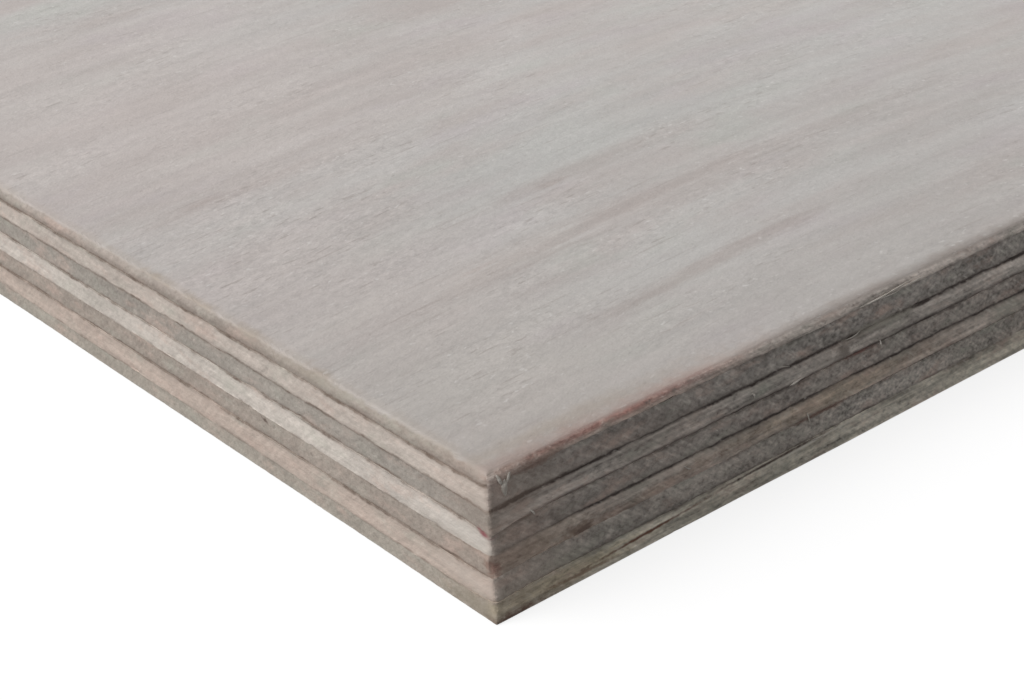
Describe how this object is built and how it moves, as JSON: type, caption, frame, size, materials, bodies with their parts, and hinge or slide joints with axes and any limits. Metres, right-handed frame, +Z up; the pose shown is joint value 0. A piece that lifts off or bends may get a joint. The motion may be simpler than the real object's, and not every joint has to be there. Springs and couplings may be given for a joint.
{
  "type": "plywood sheet",
  "caption": "Flat rectangular plywood sheet of cross-laminated wood veneers, with a sanded face and square sawn edges that show the plies, for floors, sheathing and joinery.",
  "frame": {"origin": "middle of the back face, which lies on the floor", "axes": "+X along the length and the grain of the face, +Y across the width, +Z up out of the face"},
  "size_m": [2.44, 1.22, 0.018],
  "materials": {
    "face_wood": "sanded, unfinished, faint pinkish grain along the length",
    "crossband_wood": "sawn edges, pale long grain at the ends, dark end grain along the sides",
    "core_wood": "sawn edges, grey end grain at the ends, long grain along the sides",
    "back_wood": "sanded, unfinished, greyer than the face"
  },
  "bodies": {
    "root": {"back_veneer": "back_wood", "lower_crossband": "crossband_wood", "lower_core": "core_wood", "centre_crossband": "crossband_wood", "upper_core": "core_wood", "upper_crossband": "crossband_wood", "face_veneer": "face_wood"}
  },
  "joints": []
}
